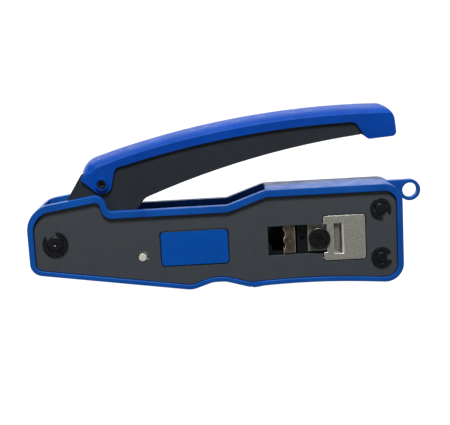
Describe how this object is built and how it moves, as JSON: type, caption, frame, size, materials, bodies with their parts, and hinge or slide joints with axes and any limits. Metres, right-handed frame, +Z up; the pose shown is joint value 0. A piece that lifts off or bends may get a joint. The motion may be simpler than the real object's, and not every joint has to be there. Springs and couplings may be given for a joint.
{
  "type": "modular plug crimping tool",
  "caption": "Compact pass-through crimping tool for modular network plugs, with a hinged lever, linked ram, wire cutter, jacket stripper and lanyard ring.",
  "frame": {"origin": "middle of the underside of the box around the whole tool, on the middle plane of its depth", "axes": "+X from the pivot end to the lanyard ring, +Y from the front face to the rear face, +Z up towards the lever"},
  "size_m": [0.1719, 0.0234, 0.0772],
  "materials": {
    "frame_plastic": "satin moulded nylon, blue",
    "grip_plastic": "satin moulded grip, blue",
    "badge": "flat blue",
    "coated_plate": "dark grey matte coating",
    "lever_steel": "dark slate coating",
    "black_oxide": "black oxide, slightly oily",
    "bright_steel": "ground steel",
    "sintered_steel": "tumbled, speckled steel",
    "stripper_bronze": "heat-tinted tool steel",
    "bush_brass": "sintered"
  },
  "bodies": {
    "frame": {"frame_shell": "frame_plastic", "front_side_plate": "coated_plate", "rear_side_plate": "coated_plate", "badge_insert": "badge", "shear_plate": "sintered_steel", "nest_block": "bright_steel", "nest_screws": "black_oxide", "stripper_blade": "stripper_bronze", "main_pivot_pin": "black_oxide", "main_pivot_clip": "black_oxide", "upper_frame_pin": "black_oxide", "lower_frame_pin": "black_oxide", "upper_frame_clip": "black_oxide", "lower_frame_clip": "black_oxide", "upper_guide_rail": "bright_steel", "lower_guide_rail": "bright_steel", "spring_post": "bright_steel", "pin_keeper": "bright_steel", "return_spring": "bright_steel"},
    "lever": {"lever_front_plate": "lever_steel", "lever_rear_plate": "lever_steel", "lever_grip": "grip_plastic", "grip_screw": "black_oxide", "grip_nut": "black_oxide", "lever_spacer": "bright_steel", "pivot_bush": "bush_brass", "lever_link_pin": "bright_steel", "tip_rivet": "bright_steel"},
    "ram": {"ram_carriage": "black_oxide", "ram_pin": "bright_steel", "cutter_blade": "bright_steel", "blade_screw": "black_oxide", "blade_spacer": "bright_steel", "crimp_die": "bright_steel", "strain_die": "bright_steel", "die_pins": "bright_steel"},
    "link": {"front_link": "bright_steel", "rear_link": "bright_steel"}
  },
  "joints": [
    {"name": "lever_hinge", "type": "hinge", "parent": "frame", "child": "lever", "pos_m": [-0.07465, 0, 0.0245], "axis": [0, 1, 0], "range_deg": [0, 7.5], "stiffness_Nm_per_rad": 2, "springref_deg": -8.59},
    {"name": "ram_slide", "type": "slide", "parent": "frame", "child": "ram", "axis": [1, 0, 0], "range_m": [0, 0.00241], "deforming": ["return_spring"]},
    {"name": "link_swing", "type": "hinge", "parent": "ram", "child": "link", "pos_m": [-0.0375, 0, 0.016], "axis": [0, 1, 0], "range_deg": [-2.75, 0]}
  ],
  "couplings": [
    {"joint": "ram_slide", "follows": "lever_hinge", "m_per_rad": 0.0183},
    {"joint": "link_swing", "follows": "lever_hinge", "ratio": -0.349}
  ]
}
